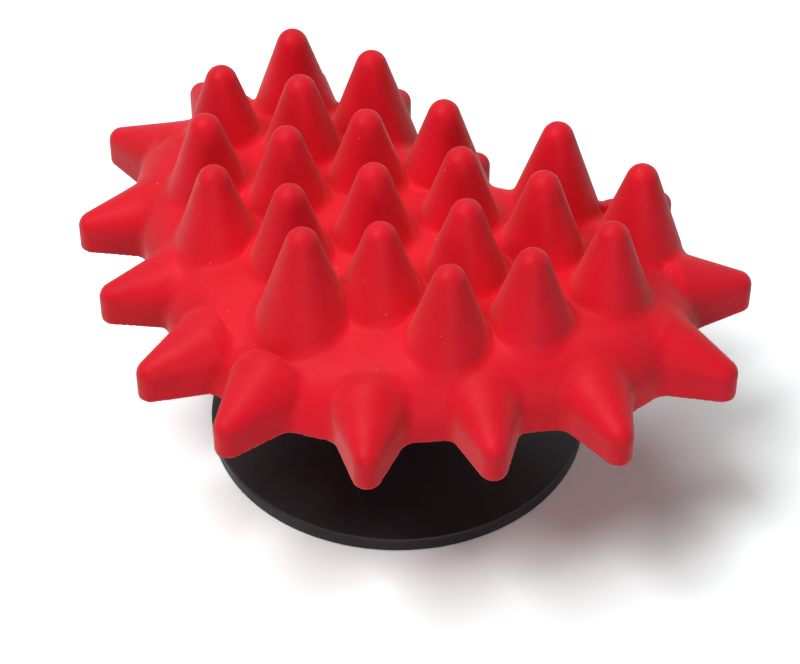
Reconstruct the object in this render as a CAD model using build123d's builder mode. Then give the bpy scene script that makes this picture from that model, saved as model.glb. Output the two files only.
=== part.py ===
from build123d import *
import os
from math import acos, asin, atan2, cos, degrees, hypot, radians, sin, sqrt

# Heart-shaped, spiked massage pad that swivels on a suction cup. Millimetres, +Z up.
# The origin is on the floor under the middle of the cup, and +Y points to the heart's notch.

# ---- driving dimensions -------------------------------------------------------------------

# suction cup
cup_diameter = 80.0
cup_edge_thickness = 3.2
cup_lip_width = 4.0
cup_recess_depth = 3.0
cup_crown_height = 8.0
neck_diameter = 24.0
neck_clearance = 0.45
neck_root_radius = 5.0

# heart outline of the pad's body
lobe_offset = 30.9
lobe_forward = 4.1
lobe_radius = 31.7
point_forward = -6.0
point_radius = 44.2
notch_radius = 20.0

# pad body
underside_height = 39.0
crown_thickness = 18.0
dome_radius_across = 455.0
dome_radius_along = 106.0
dome_forward = -5.4
shoulder_radius = 6.5

# cones on top
cone_tip_height = 35.0
cone_tip_radius = 3.3
cone_tip_dome_radius = 375.0
cone_flank_angle = 18.6
cone_depth = 30.0

# spikes round the rim
rim_reach = 12.0
rim_root_width = 13.2
rim_nose_width = 3.8
rim_side_height = 5.5
rim_nose_rounding = 1.7
rim_root_sink = 3.5

# anchor plate, moulded into the underside
plate_diameter = 48.0
plate_thickness = 3.0
hub_diameter = 19.0
hub_height = 5.5
bond_holes = 6
bond_hole_diameter = 5.0
bond_circle_radius = 17.0

# swivel hardware
journal_diameter = 8.0
thread_diameter = 6.0
bush_wall = 1.5
bush_flange_diameter = 17.0
bush_flange_thickness = 1.5
collar_thickness = 3.0
collar_across_flats = 13.0
anchor_head_diameter = 17.0
anchor_head_thickness = 3.0
anchor_head_depth = 14.0
washer_diameter = 12.5
washer_thickness = 1.2
nut_across_flats = 10.0
nut_thickness = 4.0
thread_past_nut = 1.0
pocket_diameter = 16.0
pocket_headroom = 1.2

# clearances
running_clearance = 0.05
end_play = 0.1
moulded_gap = 0.1

# ---- places worked out from them ----------------------------------------------------------

half_width = lobe_offset + lobe_radius

# Cones: x and y as shares of the half width, and how far the tip stands off the tips' sphere.
# The middle ones have x = 0, and each of the others has a twin across the middle plane.
middle_cones = [(-0.519, 0.85), (-0.134, -0.35), (0.273, -0.1)]
paired_cones = [
    (0.169, -0.348, -0.8), (0.438, -0.380, -1.2), (0.337, -0.126, 0.15), (0.612, -0.190, 0.1),
    (0.179, 0.091, -0.4), (0.461, 0.126, 0.8), (0.741, 0.069, 0.1), (0.358, 0.387, 0.3),
    (0.673, 0.378, 0.15),
]

# Rim spikes: how far along the outline each stands, as a share of its whole length. The row
# starts at the heart's point and runs anticlockwise, seen from above.
rim_shares = [
    0.0022, 0.0694, 0.1344, 0.1987, 0.2623, 0.3244, 0.3920, 0.4482,
    0.5150, 0.5931, 0.6390, 0.6966, 0.7500, 0.8177, 0.8851, 0.9487,
]

flank_normal = degrees(
    atan2(lobe_forward - point_forward, lobe_offset)
    - acos((point_radius - lobe_radius) / hypot(lobe_offset, lobe_forward - point_forward))
)
notch_forward = lobe_forward + sqrt((lobe_radius + notch_radius) ** 2 - lobe_offset**2)
lobe_end = degrees(atan2(notch_forward - lobe_forward, -lobe_offset))

bush_flange_bottom = underside_height - bush_flange_thickness
bush_top = underside_height + hub_height
collar_top = bush_flange_bottom - end_play / 2
collar_bottom = collar_top - collar_thickness
washer_bottom = bush_top + end_play / 2
nut_bottom = washer_bottom + washer_thickness
stud_top = nut_bottom + nut_thickness + thread_past_nut
pocket_top = stud_top + pocket_headroom
neck_height = collar_bottom - neck_clearance
anchor_head_bottom = neck_height - anchor_head_depth
bush_radius = journal_diameter / 2 + running_clearance + bush_wall


def cone_tip_level(x, y, rise):
    """Height of a cone's tip: the tips stand on or close to one large sphere."""
    drop = (x**2 + (y - dome_forward) ** 2) / (2 * cone_tip_dome_radius)
    return underside_height + cone_tip_height - drop + rise


# ---- suction cup: soft rubber disc, hollow underneath, with a solid neck ---------------------

cup_radius = cup_diameter / 2
neck_radius = neck_diameter / 2

with BuildPart() as suction_cup:
    with BuildSketch(Plane.XZ) as cup_section:
        with BuildLine():
            Polyline(
                (cup_radius - cup_lip_width, 0),
                (cup_radius, 0),
                (cup_radius, cup_edge_thickness),
                (neck_radius, cup_crown_height),
                (neck_radius, neck_height),
                (0, neck_height),
                (0, cup_recess_depth),
            )
            ThreePointArc(
                (0, cup_recess_depth),
                ((cup_radius - cup_lip_width) / 2, cup_recess_depth * 0.75),
                (cup_radius - cup_lip_width, 0),
            )
        make_face()
    revolve(axis=Axis.Z)
    neck_root = suction_cup.edges().filter_by(GeomType.CIRCLE)
    neck_root = neck_root.filter_by(lambda e: abs(e.radius - neck_radius) < 0.01)
    fillet(neck_root.sort_by(Axis.Z)[0], neck_root_radius)
    # cavity that the rubber fills round the stud's anchor head and shank
    with BuildSketch(Plane.XY.offset(anchor_head_bottom - moulded_gap)):
        Circle(anchor_head_diameter / 2 + moulded_gap)
    extrude(amount=anchor_head_thickness + 2 * moulded_gap, mode=Mode.SUBTRACT)
    with BuildSketch(Plane.XY.offset(anchor_head_bottom)):
        Circle(journal_diameter / 2 + moulded_gap)
    extrude(amount=anchor_head_depth, mode=Mode.SUBTRACT)

suction_cup.part.label = "suction_cup"

# ---- stud: anchor head, shank, collar, journal and thread -----------------------------------

with BuildPart() as stud:
    with BuildSketch(Plane.XY.offset(anchor_head_bottom)):
        Circle(anchor_head_diameter / 2)
    extrude(amount=anchor_head_thickness)
    with BuildSketch(Plane.XY.offset(anchor_head_bottom)):
        Circle(journal_diameter / 2)
    extrude(amount=washer_bottom - anchor_head_bottom)
    with BuildSketch(Plane.XY.offset(collar_bottom)):
        RegularPolygon(collar_across_flats / 2, 6, major_radius=False)
    extrude(amount=collar_thickness)
    with BuildSketch(Plane.XY.offset(washer_bottom)):
        Circle(thread_diameter / 2)
    extrude(amount=stud_top - washer_bottom)
    chamfer(stud.edges().sort_by(Axis.Z)[-1], 0.8)

stud.part.label = "stud"

# ---- bush: flanged sleeve pressed into the plate's hub -----------------------------------------

with BuildPart() as pivot_bush:
    with BuildSketch(Plane.XY.offset(bush_flange_bottom)):
        Circle(bush_flange_diameter / 2)
    extrude(amount=bush_flange_thickness)
    with BuildSketch(Plane.XY.offset(underside_height)):
        Circle(bush_radius)
    extrude(amount=hub_height)
    with BuildSketch(Plane.XY.offset(bush_flange_bottom)):
        Circle(journal_diameter / 2 + running_clearance)
    extrude(amount=bush_flange_thickness + hub_height, mode=Mode.SUBTRACT)

pivot_bush.part.label = "pivot_bush"

# ---- washer and nut that hold the pad on the stud ------------------------------------------------

with BuildPart() as retaining_washer:
    with BuildSketch(Plane.XY.offset(washer_bottom)):
        Circle(washer_diameter / 2)
        Circle(thread_diameter / 2 + moulded_gap, mode=Mode.SUBTRACT)
    extrude(amount=washer_thickness)

retaining_washer.part.label = "retaining_washer"

with BuildPart() as lock_nut:
    with BuildSketch(Plane.XY.offset(nut_bottom)):
        RegularPolygon(nut_across_flats / 2, 6, major_radius=False)
        Circle(thread_diameter / 2 + moulded_gap, mode=Mode.SUBTRACT)
    extrude(amount=nut_thickness)

lock_nut.part.label = "lock_nut"

# ---- anchor plate: rigid disc with a hub, and holes that the pad's silicone fills -----------------

with BuildPart() as anchor_plate:
    with BuildSketch(Plane.XY.offset(underside_height)):
        Circle(plate_diameter / 2)
        with PolarLocations(bond_circle_radius, bond_holes):
            Circle(bond_hole_diameter / 2, mode=Mode.SUBTRACT)
    extrude(amount=plate_thickness)
    with BuildSketch(Plane.XY.offset(underside_height)):
        Circle(hub_diameter / 2)
    extrude(amount=hub_height)
    with BuildSketch(Plane.XY.offset(underside_height)):
        Circle(bush_radius)
    extrude(amount=hub_height, mode=Mode.SUBTRACT)

anchor_plate.part.label = "anchor_plate"

# ---- massage pad ----------------------------------------------------------------------------------

# One half of the heart, from its point to its notch: all its stretches meet at a tangent.
with BuildLine() as half_heart:
    point_arc = CenterArc((0, point_forward), point_radius, -90, 90 + flank_normal)
    lobe_arc = CenterArc(
        (lobe_offset, lobe_forward), lobe_radius, flank_normal, lobe_end - flank_normal
    )
    Line(point_arc @ 1, lobe_arc @ 0)
    CenterArc((0, notch_forward), notch_radius, lobe_end - 180, 90 - lobe_end)

with BuildSketch(Plane.XY.offset(underside_height)) as heart:
    with BuildLine():
        add(half_heart.line)
        mirror(about=Plane.YZ)
    make_face()

# One cone, its tip at the origin and its flank running down at a constant angle.
flank_lean = radians(cone_flank_angle)
cone_flank_start = cone_tip_radius * (1 - sin(flank_lean))
cone_base_radius = cone_tip_radius * cos(flank_lean)
cone_base_radius += (cone_depth - cone_flank_start) * sin(flank_lean) / cos(flank_lean)

with BuildPart() as cone:
    with BuildSketch(Plane.XZ):
        with BuildLine():
            tip_arc = CenterArc(
                (0, -cone_tip_radius), cone_tip_radius, 90, cone_flank_angle - 90
            )
            Polyline(tip_arc @ 1, (cone_base_radius, -cone_depth), (0, -cone_depth), (0, 0))
        make_face()
    revolve(axis=Axis.Z)

cone_spots = [(0, y, rise) for y, rise in middle_cones]
for side in (-1, 1):
    cone_spots += [(side * x, y, rise) for x, y, rise in paired_cones]
cone_places = []
for x, y, rise in cone_spots:
    x, y = x * half_width, y * half_width
    cone_places.append((x, y, cone_tip_level(x, y, rise)))

# One rim spike: its wall end at x = 0, its nose along +X, an arch in section.
rim_taper = (rim_root_width - rim_nose_width) / 2 / rim_reach

with BuildPart() as rim_spike:
    for reach in (-rim_root_sink, rim_reach):
        half = rim_root_width / 2 - rim_taper * reach
        with BuildSketch(Plane.YZ.offset(reach)):
            with BuildLine():
                Polyline((-half, rim_side_height), (-half, 0), (half, 0), (half, rim_side_height))
                ThreePointArc(
                    (half, rim_side_height),
                    (0, rim_side_height + half),
                    (-half, rim_side_height),
                )
            make_face()
    loft()
    nose_edges = rim_spike.faces().sort_by(Axis.X)[-1].edges()
    fillet(nose_edges.sort_by(Axis.Z)[1:], rim_nose_rounding)

rim_places = []
for share in rim_shares:
    side = 1 if share < 0.5 else -1
    along = 2 * min(share, 1 - share)
    spot = half_heart.line @ along
    way = half_heart.line % along
    outward = degrees(atan2(-way.X, side * way.Y))
    rim_places.append(Location((side * spot.X, spot.Y, underside_height), (0, 0, outward)))

# What lies under the pad's crown, which curves gently across the heart and more along it.
crown_level = underside_height + crown_thickness
dome_axis = Axis((0, 0, crown_level - dome_radius_across), (0, 1, 0))
dome_turn = asin(1.2 * half_width / dome_radius_across)
dome_start = Plane(dome_axis.position, x_dir=(0, 1, 0), z_dir=(cos(dome_turn), 0, sin(dome_turn)))

with BuildPart() as dome:
    with BuildSketch(dome_start):
        with Locations((dome_forward, dome_radius_across - dome_radius_along)):
            Circle(dome_radius_along)
        with Locations((dome_forward, dome_radius_across)):
            Rectangle(4 * half_width, 3 * crown_thickness, mode=Mode.INTERSECT)
    revolve(axis=dome_axis, revolution_arc=2 * degrees(dome_turn))

with BuildPart() as massage_pad:
    extrude(heart.sketch, amount=crown_thickness + 1)
    add(dome.part, mode=Mode.INTERSECT)
    fillet(massage_pad.faces().sort_by(Axis.Z)[-1].edges(), shoulder_radius)
    with Locations(*cone_places):
        add(cone.part)
    # what would reach past the body's side is cut off flush with it
    extrude(heart.sketch, amount=cone_tip_height, mode=Mode.INTERSECT)
    with Locations(*rim_places):
        add(rim_spike.part)
    # seat of the plate and its hub, leaving the plugs that fill the plate's holes
    with BuildSketch(Plane.XY.offset(underside_height)):
        Circle(plate_diameter / 2 + running_clearance)
        with PolarLocations(bond_circle_radius, bond_holes):
            Circle(bond_hole_diameter / 2 - running_clearance, mode=Mode.SUBTRACT)
    extrude(amount=plate_thickness, mode=Mode.SUBTRACT)
    with BuildSketch(Plane.XY.offset(underside_height)):
        Circle(hub_diameter / 2 + running_clearance)
    extrude(amount=hub_height, mode=Mode.SUBTRACT)
    # pocket in which the nut and washer stay still while the pad turns
    with BuildSketch(Plane.XY.offset(underside_height + hub_height)):
        Circle(pocket_diameter / 2)
    extrude(amount=pocket_top - underside_height - hub_height, mode=Mode.SUBTRACT)

massage_pad.part.label = "massage_pad"

# ---- one STEP file per piece -------------------------------------------------------------------------

os.makedirs("parts", exist_ok=True)
export_step(suction_cup.part, "parts/suction_cup.step")
export_step(stud.part, "parts/stud.step")
export_step(pivot_bush.part, "parts/pivot_bush.step")
export_step(retaining_washer.part, "parts/retaining_washer.step")
export_step(lock_nut.part, "parts/lock_nut.step")
export_step(anchor_plate.part, "parts/anchor_plate.step")
export_step(massage_pad.part, "parts/massage_pad.step")
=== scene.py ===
from math import acos, atan2, cos, hypot, pi, radians, sin, sqrt

import bmesh
import bpy
import numpy as np
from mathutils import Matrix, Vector


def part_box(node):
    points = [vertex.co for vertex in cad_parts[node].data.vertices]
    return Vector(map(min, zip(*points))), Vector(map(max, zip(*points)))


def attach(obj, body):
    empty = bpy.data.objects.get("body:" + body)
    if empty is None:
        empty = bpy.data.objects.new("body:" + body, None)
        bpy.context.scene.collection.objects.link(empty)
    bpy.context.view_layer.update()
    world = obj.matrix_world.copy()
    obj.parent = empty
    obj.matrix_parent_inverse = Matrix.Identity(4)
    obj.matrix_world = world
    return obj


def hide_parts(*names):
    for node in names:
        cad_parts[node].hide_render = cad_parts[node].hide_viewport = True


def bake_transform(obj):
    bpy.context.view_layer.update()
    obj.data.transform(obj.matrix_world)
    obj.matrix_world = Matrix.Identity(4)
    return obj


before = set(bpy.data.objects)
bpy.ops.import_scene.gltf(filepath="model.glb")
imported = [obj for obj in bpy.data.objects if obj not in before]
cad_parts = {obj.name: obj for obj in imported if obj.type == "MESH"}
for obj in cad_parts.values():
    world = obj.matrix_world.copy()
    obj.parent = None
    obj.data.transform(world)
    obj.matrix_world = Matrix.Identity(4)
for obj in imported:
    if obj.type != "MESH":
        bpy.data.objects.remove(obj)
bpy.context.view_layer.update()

MM = 0.001

# The pad stands over the cup's middle, which is the frame's origin. Its own heights are
# counted from its flat underside, in millimetres.
pad_low, pad_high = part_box("massage_pad")
cup_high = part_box("suction_cup")[1]
UNDERSIDE = pad_low.z / MM
PAD_HEIGHT = (pad_high.z - pad_low.z) / MM


# ---- the pad's shape, as a distance to its surface ------------------------------------------

# heart outline: an arc round the point, a straight flank, an arc round the lobe and one in
# the notch, which all meet at a tangent
LOBE = np.array([30.9, 4.1])
LOBE_RADIUS = 31.7
POINT = np.array([0.0, -6.0])
POINT_RADIUS = 44.2
NOTCH_RADIUS = 20.0
HALF_WIDTH = LOBE[0] + LOBE_RADIUS

CROWN = 18.0
DOME_ACROSS = 455.0
DOME_ALONG = 106.0
DOME_FORWARD = -5.4
SHOULDER = 9.0
FOOT_EDGE = 0.5

CONE_TIP_RADIUS = 3.3
CONE_TIP_LEVEL = 35.0
CONE_TIP_DOME_RADIUS = 375.0
CONE_LEAN = radians(18.6)
CONE_FILLET = 1.3
CONE_TRIM = 0.6
MIDDLE_CONES = [(-0.519, 0.85), (-0.134, -0.35), (0.273, -0.1)]
PAIRED_CONES = [
    (0.169, -0.348, -0.8), (0.438, -0.380, -1.2), (0.337, -0.126, 0.15), (0.612, -0.190, 0.1),
    (0.179, 0.091, -0.4), (0.461, 0.126, 0.8), (0.741, 0.069, 0.1), (0.358, 0.387, 0.3),
    (0.673, 0.378, 0.15),
]

SPIKE_SHARES = [
    0.0022, 0.0694, 0.1344, 0.1987, 0.2623, 0.3244, 0.3920, 0.4482,
    0.5150, 0.5931, 0.6390, 0.6966, 0.7500, 0.8177, 0.8851, 0.9487,
]
SPIKE_REACH = 12.0
SPIKE_ROOT = 6.6
SPIKE_NOSE = 1.9
SPIKE_SIDE = 5.5
SPIKE_SINK = 3.0
SPIKE_ROUNDING = 1.8
SPIKE_FILLET = 1.4
SPIKE_MIDDLE = 5.0

# how far from its middle a cone or spike can change the surface
FEATURE_RANGE = 16.0

SEAT_RADIUS = 24.05
SEAT_DEPTH = 3.0
HUB_RADIUS = 9.55
HUB_DEPTH = 5.5
POCKET_RADIUS = 8.0
POCKET_DEPTH = 12.95
SEAT_STEPS = [(SEAT_RADIUS, SEAT_DEPTH), (HUB_RADIUS, HUB_DEPTH), (POCKET_RADIUS, POCKET_DEPTH)]
PLUG_RADIUS = 2.45
PLUG_CIRCLE = 17.0
PLUG_INSET = 0.05
PLUG_ROOT = 1.0
PLUGS = 6

NET_STEP = 0.65
NET_MARGIN = 1.5


def outline_parts():
    """Angles and centres that join the heart's arcs."""
    apart = LOBE - POINT
    flank = atan2(apart[1], apart[0]) - acos((POINT_RADIUS - LOBE_RADIUS) / hypot(*apart))
    notch = np.array([0.0, LOBE[1] + sqrt((LOBE_RADIUS + NOTCH_RADIUS) ** 2 - LOBE[0] ** 2)])
    lobe_end = atan2(notch[1] - LOBE[1], -LOBE[0])
    return flank, lobe_end, notch


FLANK, LOBE_END, NOTCH = outline_parts()


def heart_distance(x, y):
    """Distance to the heart's outline in plan, below zero inside it."""
    p = np.stack([np.abs(x), y], -1)
    normal = np.array([cos(FLANK), sin(FLANK)])
    along = np.array([-normal[1], normal[0]])
    join = np.array([cos(LOBE_END), sin(LOBE_END)])
    from_point, from_lobe, from_notch = p - POINT, p - LOBE, p - NOTCH
    point_side = np.hypot(*from_point.T) - POINT_RADIUS
    flank_side = from_point @ normal - POINT_RADIUS
    lobe_side = np.hypot(*from_lobe.T) - LOBE_RADIUS
    notch_side = NOTCH_RADIUS - np.hypot(*from_notch.T)
    in_notch = from_lobe @ np.array([-join[1], join[0]]) > 0
    out = np.where(from_point @ along < 0, point_side, flank_side)
    out = np.where(from_lobe @ along > 0, lobe_side, out)
    return np.where(in_notch & (p[:, 1] > LOBE[1]), notch_side, out)


def half_outline(steps=400):
    """Points along the right half of the outline, from the heart's point to its notch."""
    stretches = [
        (POINT, POINT_RADIUS, -pi / 2, FLANK),
        (LOBE, LOBE_RADIUS, FLANK, LOBE_END),
        (NOTCH, NOTCH_RADIUS, LOBE_END - pi, -pi / 2),
    ]
    points = []
    for centre, radius, start, end in stretches:
        a = np.linspace(start, end, steps)
        points.append(centre + radius * np.stack([np.cos(a), np.sin(a)], -1))
    return np.concatenate(points)


def cone_places():
    """Where each cone's tip stands: x, y and height."""
    spots = [(0.0, y, rise) for y, rise in MIDDLE_CONES]
    spots += [(side * x, y, rise) for side in (-1, 1) for x, y, rise in PAIRED_CONES]
    places = []
    for x, y, rise in spots:
        x, y = x * HALF_WIDTH, y * HALF_WIDTH
        drop = (x**2 + (y - DOME_FORWARD) ** 2) / (2 * CONE_TIP_DOME_RADIUS)
        places.append((x, y, CONE_TIP_LEVEL - drop + rise))
    return places


def spike_places():
    """Where each rim spike leaves the body and which way it points: x, y, cos and sin."""
    points = half_outline()
    steps = np.hypot(*np.diff(points, axis=0).T)
    run = np.concatenate([[0], np.cumsum(steps)])
    places = []
    for share in SPIKE_SHARES:
        side = 1 if share < 0.5 else -1
        s = run[-1] * 2 * min(share, 1 - share)
        ends = max(s - 0.5, 0), min(s + 0.5, run[-1])
        x, y = (np.interp(s, run, points[:, i]) for i in (0, 1))
        tx, ty = (np.diff(np.interp(ends, run, points[:, i]))[0] for i in (0, 1))
        places.append((side * x, y, side * ty / hypot(tx, ty), -tx / hypot(tx, ty)))
    return places


def rounded_meet(a, b, r):
    """Where both shapes are, with their common edge rounded to radius r."""
    return np.minimum(np.maximum(a, b), -r) + np.hypot(np.maximum(a + r, 0), np.maximum(b + r, 0))


def rounded_join(a, b, r):
    """Where either shape is, with a fillet of radius r between them."""
    return np.maximum(np.minimum(a, b), r) - np.hypot(np.maximum(r - a, 0), np.maximum(r - b, 0))


def cone_distance(p, x, y, tip):
    """Distance to a cone with a round tip, which stands at (x, y) and reaches the height tip."""
    r = np.hypot(p[:, 0] - x, p[:, 1] - y)
    t = tip - CONE_TIP_RADIUS - p[:, 2]
    on_flank = r * sin(CONE_LEAN) + t * cos(CONE_LEAN) > 0
    flank = r * cos(CONE_LEAN) - t * sin(CONE_LEAN)
    return np.where(on_flank, flank, np.hypot(r, t)) - CONE_TIP_RADIUS


def spike_distance(p, x, y, c, d):
    """Distance to a rim spike that leaves the body at (x, y) and points along (c, d)."""
    dx, dy = p[:, 0] - x, p[:, 1] - y
    out, across = dx * c + dy * d, dy * c - dx * d
    taper = (SPIKE_ROOT - SPIKE_NOSE) / SPIKE_REACH
    half = SPIKE_ROOT - taper * np.maximum(out, -SPIKE_SINK)
    rise = np.maximum(p[:, 2] - SPIKE_SIDE, 0)
    flank = (np.hypot(across, rise) - half) / hypot(1, taper)
    flank = np.maximum(flank, -out - 2 * SPIKE_SINK)
    return rounded_meet(flank, out - SPIKE_REACH, SPIKE_ROUNDING)


CONES = cone_places()
SPIKES = spike_places()


def pad_distance(p):
    """Distance to the pad's surface at points p, below zero inside it."""
    x, y, z = p.T
    edge = heart_distance(x, y)
    across = np.hypot(x, z - CROWN + DOME_ACROSS) - DOME_ACROSS + DOME_ALONG
    dome = np.hypot(across, y - DOME_FORWARD) - DOME_ALONG
    out = rounded_meet(edge, dome, SHOULDER)
    for sx, sy, c, d in SPIKES:
        near = np.hypot(x - sx - SPIKE_MIDDLE * c, y - sy - SPIKE_MIDDLE * d) < FEATURE_RANGE
        out[near] = rounded_join(out[near], spike_distance(p[near], sx, sy, c, d), SPIKE_FILLET)
    for cx, cy, tip in CONES:
        near = np.hypot(x - cx, y - cy) < FEATURE_RANGE
        cone = np.maximum(cone_distance(p[near], cx, cy, tip), edge[near] + CONE_TRIM)
        out[near] = rounded_join(out[near], cone, CONE_FILLET)
    out = rounded_meet(out, -z, FOOT_EDGE)
    r = np.hypot(x, y)
    for radius, depth in SEAT_STEPS:
        out = np.maximum(out, np.minimum(radius - r, depth - z))
    # plugs of silicone that fill the plate's holes
    for turn in np.arange(PLUGS) * 2 * pi / PLUGS:
        plug = np.hypot(x - PLUG_CIRCLE * cos(turn), y - PLUG_CIRCLE * sin(turn)) - PLUG_RADIUS
        plug = np.maximum(plug, np.maximum(PLUG_INSET - z, z - SEAT_DEPTH - PLUG_ROOT))
        out = np.minimum(out, plug)
    return out


def pad_normal(p, h=0.02):
    """Direction in which the distance grows, and its rate."""
    grad = np.empty_like(p)
    for k in range(3):
        step = np.zeros(3)
        step[k] = h
        grad[:, k] = (pad_distance(p + step) - pad_distance(p - step)) / (2 * h)
    return grad


def surface_net(distance, low, high, step):
    """Closed quad mesh of the surface where the distance is zero."""
    axes = [np.arange(a, b + step, step) for a, b in zip(low, high)]
    size = [len(a) for a in axes]
    grid = np.stack(np.meshgrid(*axes, indexing="ij"), -1)
    field = distance(grid.reshape(-1, 3)).reshape(size)
    inside = field < 0
    cells = [n - 1 for n in size]
    unit = np.eye(3, dtype=int)
    quads, crossings = [], []
    for axis in range(3):
        lo = [slice(0, n) for n in size]
        hi = list(lo)
        lo[axis], hi[axis] = slice(0, -1), slice(1, None)
        found = np.argwhere(inside[tuple(lo)] != inside[tuple(hi)])
        one, u, v = (unit[(axis + k) % 3] for k in range(3))
        a = field[tuple(found.T)]
        b = field[tuple((found + one).T)]
        spot = grid[tuple(found.T)].copy()
        spot[:, axis] += step * a / (a - b)
        ring = [found, found - u, found - u - v, found - v]
        ids = np.stack([np.ravel_multi_index(tuple(r.T), cells) for r in ring], -1)
        turned = inside[tuple(found.T)][:, None]
        quads.append(np.where(turned, ids, ids[:, ::-1]))
        crossings.append(np.repeat(spot[:, None], 4, 1).reshape(-1, 3))
    quads = np.concatenate(quads)
    crossings = np.concatenate(crossings)
    used, index = np.unique(quads, return_inverse=True)
    index = index.reshape(-1)
    # a cell's point is the middle of the crossings on its edges
    total = np.zeros((len(used), 3))
    np.add.at(total, index, crossings)
    count = np.bincount(index, minlength=len(used))
    return total / count[:, None], index.reshape(-1, 4)


def settle(points, distance, gradient, rounds=4):
    """Moves the points onto the surface along its normal."""
    for _ in range(rounds):
        grad = gradient(points)
        square = np.maximum((grad**2).sum(1), 0.25)
        points = points - (distance(points) / square)[:, None] * grad
    return points


def shade_smooth(mesh):
    mesh.polygons.foreach_set("use_smooth", [True] * len(mesh.polygons))


def mesh_object(name, points, faces):
    mesh = bpy.data.meshes.new(name)
    mesh.from_pydata([tuple(p) for p in points], [], [tuple(int(i) for i in f) for f in faces])
    mesh.update()
    shade_smooth(mesh)
    obj = bpy.data.objects.new(name, mesh)
    bpy.context.scene.collection.objects.link(obj)
    return obj


def lathe(name, profile, turns):
    """Turns a closed profile of (radius, height) pairs, in millimetres, about the Z axis."""
    points, faces = [], []
    for k in range(turns):
        a = 2 * pi * k / turns
        points += [(r * cos(a) * MM, r * sin(a) * MM, z * MM) for r, z in profile]
    n = len(profile)
    for k in range(turns):
        a, b = k * n, (k + 1) % turns * n
        for i in range(n):
            j = (i + 1) % n
            faces.append((a + i, b + i, b + j, a + j))
    obj = mesh_object(name, points, faces)
    tidy = bmesh.new()
    tidy.from_mesh(obj.data)
    bmesh.ops.remove_doubles(tidy, verts=tidy.verts, dist=1e-6)
    bmesh.ops.dissolve_degenerate(tidy, edges=tidy.edges, dist=1e-7)
    bmesh.ops.recalc_face_normals(tidy, faces=tidy.faces)
    tidy.to_mesh(obj.data)
    tidy.free()
    shade_smooth(obj.data)
    return obj


def build_pad():
    """The silicone moulding, with the plugs that reach into the anchor plate."""
    low = (pad_low.x / MM - NET_MARGIN, pad_low.y / MM - NET_MARGIN, -NET_MARGIN)
    high = (pad_high.x / MM + NET_MARGIN, pad_high.y / MM + NET_MARGIN, PAD_HEIGHT + NET_MARGIN)
    step = NET_STEP
    points, faces = surface_net(pad_distance, low, high, step)
    points = settle(points, pad_distance, pad_normal)
    points[:, 2] += UNDERSIDE
    return mesh_object("silicone_pad", points * MM, faces)


pad = build_pad()
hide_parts("massage_pad")
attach(pad, "pad")


# ---- suction cup -----------------------------------------------------------------------------

def fillet_points(before, corner, after, radius, count=6):
    """Points of an arc of that radius in a profile's corner."""
    a, b, c = (np.array(q, float) for q in (before, corner, after))
    u, v = (a - b) / np.linalg.norm(a - b), (c - b) / np.linalg.norm(c - b)
    half = acos(float(np.clip(u @ v, -1, 1))) / 2
    reach = radius / np.tan(half)
    start, end = b + u * reach, b + v * reach
    centre = b + (u + v) / np.linalg.norm(u + v) * radius / sin(half)
    out = []
    for t in np.linspace(0, 1, count):
        q = start * (1 - t) + end * t - centre
        out.append(tuple(centre + q / np.linalg.norm(q) * radius))
    return out


def rounded_profile(corners):
    """A closed profile from (radius, height, rounding) corners."""
    out = []
    n = len(corners)
    for k, (r, z, rounding) in enumerate(corners):
        if rounding:
            before, after = corners[k - 1][:2], corners[(k + 1) % n][:2]
            out += fillet_points(before, (r, z), after, rounding)
        else:
            out.append((r, z))
    return out


CUP_RADIUS = cup_high.x / MM
CUP_TOP = cup_high.z / MM
CUP_EDGE = 3.2
CUP_LIP = 4.0
CUP_RECESS = 3.0
CUP_CROWN = 8.0
CUP_SIDES = 192
NECK_RADIUS = 12.0
NECK_ROOT = 5.0
AXIS_GAP = 0.01


def build_cup():
    """The rubber disc with its neck, and the hollow underneath that holds it to a surface."""
    inner = CUP_RADIUS - CUP_LIP
    shares = np.linspace(0, 1, 13)[1:-1]
    hollow = [(inner * (1 - t), CUP_RECESS * (1 - (1 - t) ** 2)) for t in shares]
    corners = [
        (AXIS_GAP, CUP_RECESS, 0),
        (AXIS_GAP, CUP_TOP, 0),
        (NECK_RADIUS, CUP_TOP, 0.6),
        (NECK_RADIUS, CUP_CROWN, NECK_ROOT),
        (CUP_RADIUS, CUP_EDGE, 0.5),
        (CUP_RADIUS, 0.0, 0.4),
        (inner, 0.0, 0.3),
    ]
    profile = rounded_profile(corners) + hollow
    return lathe("rubber_cup", profile, CUP_SIDES)


cup = build_cup()
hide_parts("suction_cup")
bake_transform(cup)


# ---- materials ----------------------------------------------------------------------------------

def node_material(name):
    """A new material, its node tree and its Principled shader."""
    material = bpy.data.materials.new(name)
    material.use_nodes = True
    tree = material.node_tree
    shader = tree.nodes["Principled BSDF"]
    return material, tree, shader


def grey(value):
    return (value,) * 3


def noise(tree, scale, detail=4.0, roughness=0.55):
    place = tree.nodes.new("ShaderNodeTexCoord")
    node = tree.nodes.new("ShaderNodeTexNoise")
    node.inputs["Scale"].default_value = scale
    node.inputs["Detail"].default_value = detail
    node.inputs["Roughness"].default_value = roughness
    tree.links.new(place.outputs["Object"], node.inputs["Vector"])
    return node


def ramp(tree, source, stops):
    node = tree.nodes.new("ShaderNodeValToRGB")
    elements = node.color_ramp.elements
    while len(elements) < len(stops):
        elements.new(0.5)
    for element, (place, colour) in zip(elements, stops):
        element.position = place
        element.color = (*colour, 1.0)
    tree.links.new(source, node.inputs["Fac"])
    return node


def bump(tree, source, strength, distance):
    node = tree.nodes.new("ShaderNodeBump")
    node.inputs["Strength"].default_value = strength
    node.inputs["Distance"].default_value = distance
    tree.links.new(source, node.inputs["Height"])
    return node


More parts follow.
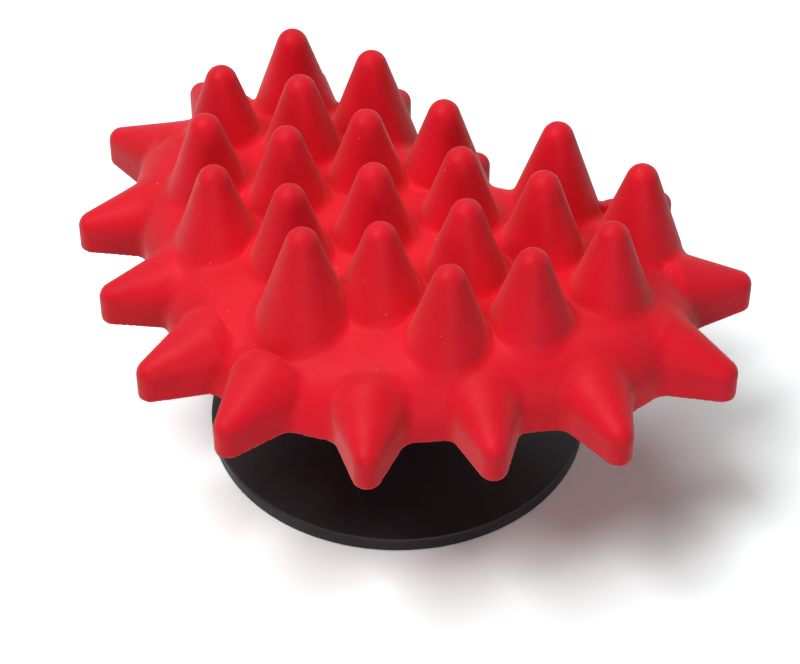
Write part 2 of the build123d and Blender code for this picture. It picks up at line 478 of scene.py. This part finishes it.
def silicone_material():
    material, tree, shader = node_material("red_silicone")
    mottle = noise(tree, 90.0)
    reds = [(0.35, (0.72, 0.0, 0.012)), (0.65, (0.80, 0.001, 0.020))]
    tint = ramp(tree, mottle.outputs["Fac"], reds)
    # sparse specks of pale dust, which the tacky skin holds
    specks = noise(tree, 1100.0, 1.0)
    caught = ramp(tree, specks.outputs["Fac"], [(0.78, grey(0.0)), (0.83, grey(0.4))])
    dusted = tree.nodes.new("ShaderNodeMix")
    dusted.data_type = "RGBA"
    dusted.inputs["B"].default_value = (0.85, 0.45, 0.45, 1)
    tree.links.new(caught.outputs["Color"], dusted.inputs["Factor"])
    tree.links.new(tint.outputs["Color"], dusted.inputs["A"])
    tree.links.new(dusted.outputs["Result"], shader.inputs["Base Color"])
    haze = noise(tree, 420.0)
    gloss = ramp(tree, haze.outputs["Fac"], [(0.3, grey(0.50)), (0.7, grey(0.60))])
    tree.links.new(gloss.outputs["Color"], shader.inputs["Roughness"])
    grain = noise(tree, 2600.0, 3.0)
    skin = bump(tree, grain.outputs["Fac"], 0.25, 0.00006)
    tree.links.new(skin.outputs["Normal"], shader.inputs["Normal"])
    shader.inputs["Specular IOR Level"].default_value = 0.17
    shader.inputs["Sheen Weight"].default_value = 0.18
    shader.inputs["Sheen Roughness"].default_value = 0.6
    shader.inputs["Sheen Tint"].default_value = (1.0, 0.66, 0.62, 1.0)
    return material


def rubber_material():
    material, tree, shader = node_material("black_rubber")
    mottle = noise(tree, 60.0)
    blacks = [(0.35, (0.010, 0.007, 0.009)), (0.7, (0.019, 0.014, 0.017))]
    tint = ramp(tree, mottle.outputs["Fac"], blacks)
    tree.links.new(tint.outputs["Color"], shader.inputs["Base Color"])
    dust = noise(tree, 500.0)
    gloss = ramp(tree, dust.outputs["Fac"], [(0.3, grey(0.42)), (0.7, grey(0.55))])
    tree.links.new(gloss.outputs["Color"], shader.inputs["Roughness"])
    shader.inputs["Specular IOR Level"].default_value = 0.28
    grain = noise(tree, 1800.0, 3.0)
    skin = bump(tree, grain.outputs["Fac"], 0.2, 0.00005)
    tree.links.new(skin.outputs["Normal"], shader.inputs["Normal"])
    return material


def metal_material(name, colour, roughness):
    material, tree, shader = node_material(name)
    shade = noise(tree, 300.0)
    dark = tuple(0.85 * c for c in colour)
    tint = ramp(tree, shade.outputs["Fac"], [(0.3, dark), (0.7, colour)])
    tree.links.new(tint.outputs["Color"], shader.inputs["Base Color"])
    shader.inputs["Metallic"].default_value = 1.0
    lines = noise(tree, 900.0)
    gloss = ramp(tree, lines.outputs["Fac"], [(0.3, grey(roughness)), (0.7, grey(roughness + 0.12))])
    tree.links.new(gloss.outputs["Color"], shader.inputs["Roughness"])
    return material


def plate_material():
    material, tree, shader = node_material("glass_filled_nylon")
    flow = noise(tree, 140.0)
    shades = [(0.3, (0.030, 0.030, 0.033)), (0.7, (0.055, 0.055, 0.060))]
    tint = ramp(tree, flow.outputs["Fac"], shades)
    tree.links.new(tint.outputs["Color"], shader.inputs["Base Color"])
    shader.inputs["Roughness"].default_value = 0.5
    grain = noise(tree, 1500.0)
    skin = bump(tree, grain.outputs["Fac"], 0.3, 0.00008)
    tree.links.new(skin.outputs["Normal"], shader.inputs["Normal"])
    return material


def give(obj, material):
    obj.data.materials.clear()
    obj.data.materials.append(material)


give(pad, silicone_material())
give(cup, rubber_material())
steel = metal_material("zinc_plated_steel", (0.58, 0.59, 0.62), 0.28)
for node in ("stud", "retaining_washer", "lock_nut"):
    give(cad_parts[node], steel)
give(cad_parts["pivot_bush"], metal_material("turned_brass", (0.72, 0.52, 0.22), 0.25))
give(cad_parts["anchor_plate"], plate_material())


# ---- floor, light and camera --------------------------------------------------------------------

FLOOR_HALF = 3.0
FLOOR_BOUNCE = 0.42
FLOOR_SEEN = (1.46, 1.55, 1.55)
SHADOW_REACH = 0.20
WHITE_FROM = 0.55

def background_rays(tree):
    """One for the rays that show the background: the camera's, mirrored and refracted ones."""
    seen = tree.nodes.new("ShaderNodeLightPath")
    total = seen.outputs["Is Camera Ray"]
    for kind in ("Is Glossy Ray", "Is Transmission Ray"):
        add = tree.nodes.new("ShaderNodeMath")
        add.operation = "ADD"
        add.use_clamp = True
        tree.links.new(total, add.inputs[0])
        tree.links.new(seen.outputs[kind], add.inputs[1])
        total = add.outputs["Value"]
    return total


def build_floor():
    """A floor that keeps the shadow near the object and runs out into plain white."""
    half = FLOOR_HALF
    corners = [(-half, -half, 0), (half, -half, 0), (half, half, 0), (-half, half, 0)]
    floor = mesh_object("floor", corners, [(0, 1, 2, 3)])
    material, tree, shader = node_material("white_floor")
    tree.nodes.remove(shader)
    paper = tree.nodes.new("ShaderNodeBsdfDiffuse")
    shade = tree.nodes.new("ShaderNodeMix")
    shade.data_type = "RGBA"
    shade.inputs["A"].default_value = (*grey(FLOOR_BOUNCE), 1)
    shade.inputs["B"].default_value = (*FLOOR_SEEN, 1)
    tree.links.new(background_rays(tree), shade.inputs["Factor"])
    tree.links.new(shade.outputs["Result"], paper.inputs["Color"])
    # the white is only for the rays that show the background
    spot = tree.nodes.new("ShaderNodeNewGeometry")
    away = tree.nodes.new("ShaderNodeVectorMath")
    away.operation = "LENGTH"
    fade = tree.nodes.new("ShaderNodeMapRange")
    fade.interpolation_type = "SMOOTHSTEP"
    fade.inputs["From Min"].default_value = SHADOW_REACH
    fade.inputs["From Max"].default_value = WHITE_FROM
    share = tree.nodes.new("ShaderNodeMath")
    share.operation = "MULTIPLY"
    white = tree.nodes.new("ShaderNodeEmission")
    blend = tree.nodes.new("ShaderNodeMixShader")
    tree.links.new(spot.outputs["Position"], away.inputs[0])
    tree.links.new(away.outputs["Value"], fade.inputs["Value"])
    tree.links.new(fade.outputs["Result"], share.inputs[0])
    tree.links.new(background_rays(tree), share.inputs[1])
    tree.links.new(share.outputs["Value"], blend.inputs["Fac"])
    tree.links.new(paper.outputs["BSDF"], blend.inputs[1])
    tree.links.new(white.outputs["Emission"], blend.inputs[2])
    tree.links.new(blend.outputs["Shader"], tree.nodes["Material Output"].inputs["Surface"])
    give(floor, material)


AZIMUTH = radians(33.4)
ELEVATION = radians(41.7)
DISTANCE = 0.5
LENS_MM = 107.3
SENSOR_MM = 36.0
AIM_ACROSS = 0.00055
AIM_HEIGHT = 0.0242
LAMP_AIM = Vector((0, 0, 0.04))
WORLD_FILL = 0.06

right = Vector((cos(AZIMUTH), sin(AZIMUTH), 0))
ahead = Vector((-sin(AZIMUTH), cos(AZIMUTH), 0))


def from_view(across, away, up):
    """A point given as the photographer sees it: to the right, away and up."""
    return right * across + ahead * away + Vector((0, 0, up))


def build_camera():
    """The photograph's viewing angle, with the aim a little right of the cup's middle."""
    data = bpy.data.cameras.new("camera")
    data.lens = LENS_MM
    data.sensor_width = SENSOR_MM
    camera = bpy.data.objects.new("camera", data)
    aim = from_view(AIM_ACROSS, 0, AIM_HEIGHT)
    look = ahead * cos(ELEVATION) - Vector((0, 0, sin(ELEVATION)))
    camera.location = aim - look * DISTANCE
    camera.rotation_euler = look.to_track_quat("-Z", "Y").to_euler()
    bpy.context.scene.collection.objects.link(camera)
    bpy.context.scene.camera = camera


def softbox(name, place, width, height, power):
    """A rectangular lamp at place, turned towards the object."""
    data = bpy.data.lights.new(name, "AREA")
    data.shape = "RECTANGLE"
    data.size, data.size_y = width, height
    data.energy = power
    lamp = bpy.data.objects.new(name, data)
    lamp.location = place
    lamp.rotation_euler = (LAMP_AIM - place).to_track_quat("-Z", "Y").to_euler()
    bpy.context.scene.collection.objects.link(lamp)


def build_world():
    """White behind the object, and little light from it."""
    world = bpy.data.worlds.new("studio")
    bpy.context.scene.world = world
    world.use_nodes = True
    tree = world.node_tree
    ground = tree.nodes["Background"]
    ground.inputs["Color"].default_value = (1, 1, 1, 1)
    strength = tree.nodes.new("ShaderNodeMix")
    strength.inputs["A"].default_value = WORLD_FILL
    strength.inputs["B"].default_value = 1.0
    tree.links.new(background_rays(tree), strength.inputs["Factor"])
    tree.links.new(strength.outputs["Result"], ground.inputs["Strength"])


build_floor()
build_camera()
build_world()
softbox("key_light", from_view(-0.45, -0.25, 1.10), 0.50, 0.50, 9.2)
softbox("back_light", from_view(-0.10, 0.50, 1.10), 0.50, 0.50, 3.5)
softbox("front_fill", from_view(0.10, -1.10, 0.30), 0.60, 0.35, 3.4)
bpy.context.scene.view_settings.view_transform = "Standard"
